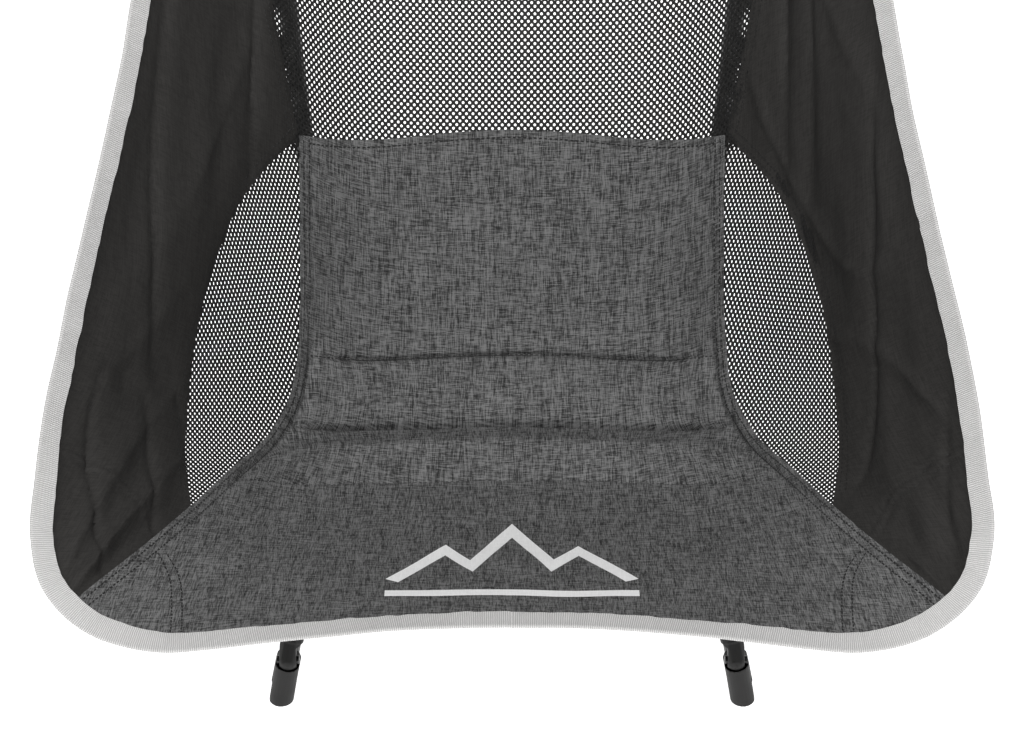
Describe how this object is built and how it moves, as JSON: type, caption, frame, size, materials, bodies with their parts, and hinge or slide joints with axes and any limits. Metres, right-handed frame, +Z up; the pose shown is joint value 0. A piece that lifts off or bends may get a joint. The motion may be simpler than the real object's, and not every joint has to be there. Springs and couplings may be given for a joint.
{
  "type": "camp rocking chair",
  "caption": "Low camp chair with a fabric bucket seat stretched over slim poles, rocking on a sprung ground frame.",
  "frame": {"origin": "on the ground, under the middle of the chair's box", "axes": "+Z up, the sitter faces -Y, +X to the right of someone who looks at the chair's front; left names the -X side"},
  "size_m": [0.5908, 0.6098, 0.8113],
  "materials": {
    "melange_cloth": "heathered plain weave",
    "black_cloth": "matt coated plain weave",
    "black_mesh": "open coated mesh",
    "grey_webbing": "ribbed tape",
    "foam": "foam in a lining",
    "black_tube": "black powder coat",
    "black_nylon": "moulded, fine grain",
    "steel": "ground"
  },
  "bodies": {
    "base": {"front_shoe_left": "black_nylon", "front_shoe_right": "black_nylon", "ground_rail_left": "black_tube", "ground_rail_right": "black_tube", "rear_foot_left": "black_nylon", "rear_foot_right": "black_nylon", "rear_cross_rail": "black_tube", "rock_pin_left": "steel", "rock_pin_right": "steel", "strut_foot_pin_left": "steel", "strut_foot_pin_right": "steel"},
    "rocking_frame": {"front_leg_left": "black_tube", "front_leg_right": "black_tube", "leg_end_left": "black_nylon", "leg_end_right": "black_nylon", "hub_left": "black_nylon", "hub_right": "black_nylon", "hub_crossbar": "black_tube", "strut_top_pin_left": "steel", "strut_top_pin_right": "steel", "seat_pole_lower_left": "black_tube", "seat_pole_lower_right": "black_tube", "seat_pole_upper_left": "black_tube", "seat_pole_upper_right": "black_tube", "seat_ferrule_left": "black_tube", "seat_ferrule_right": "black_tube", "seat_pole_tip_left": "black_nylon", "seat_pole_tip_right": "black_nylon", "seat_pocket_left": "black_cloth", "seat_pocket_right": "black_cloth", "back_pole_lower_left": "black_tube", "back_pole_lower_right": "black_tube", "back_pole_upper_left": "black_tube", "back_pole_upper_right": "black_tube", "back_ferrule_left": "black_tube", "back_ferrule_right": "black_tube", "back_pole_tip_left": "black_nylon", "back_pole_tip_right": "black_nylon", "back_pocket_left": "black_cloth", "back_pocket_right": "black_cloth", "seat_panel": "melange_cloth", "seat_padding": "foam", "back_mesh": "black_mesh", "head_band": "black_cloth", "edge_binding": "grey_webbing", "side_panel_left": "black_cloth", "side_panel_right": "black_cloth", "side_mesh_left": "black_mesh", "side_mesh_right": "black_mesh"},
    "strut_cylinder_left": {"strut_yoke_left": "black_nylon", "strut_tube_left": "black_tube", "strut_gland_left": "black_nylon", "strut_spring_left": "steel"},
    "strut_cylinder_right": {"strut_yoke_right": "black_nylon", "strut_tube_right": "black_tube", "strut_gland_right": "black_nylon", "strut_spring_right": "steel"},
    "strut_piston_left": {"strut_rod_left": "steel"},
    "strut_piston_right": {"strut_rod_right": "steel"}
  },
  "joints": [
    {"name": "rock", "type": "hinge", "parent": "base", "child": "rocking_frame", "pos_m": [0, -0.017, 0.038], "axis": [-1, 0, 0], "range_deg": [0, 12], "stiffness_Nm_per_rad": 310, "springref_deg": -5.56},
    {"name": "strut_swing_left", "type": "hinge", "parent": "rocking_frame", "child": "strut_cylinder_left", "pos_m": [-0.133, 0.106, 0.2], "axis": [-1, 0, 0], "range_deg": [-11.3, 0.2]},
    {"name": "strut_stroke_left", "type": "slide", "parent": "strut_cylinder_left", "child": "strut_piston_left", "axis": [0, -0.6817, 0.7316], "range_m": [0, 0.0426], "deforming": ["strut_spring_left"]},
    {"name": "strut_swing_right", "type": "hinge", "parent": "rocking_frame", "child": "strut_cylinder_right", "pos_m": [0.133, 0.106, 0.2], "axis": [-1, 0, 0], "range_deg": [-11.3, 0.2]},
    {"name": "strut_stroke_right", "type": "slide", "parent": "strut_cylinder_right", "child": "strut_piston_right", "axis": [0, -0.6817, 0.7316], "range_m": [0, 0.0426], "deforming": ["strut_spring_right"]}
  ],
  "couplings": [
    {"joint": "strut_swing_left", "follows": "rock", "ratio": -0.93185},
    {"joint": "strut_stroke_left", "follows": "rock", "m_per_rad": 0.20249},
    {"joint": "strut_swing_right", "follows": "rock", "ratio": -0.93185},
    {"joint": "strut_stroke_right", "follows": "rock", "m_per_rad": 0.20249}
  ]
}
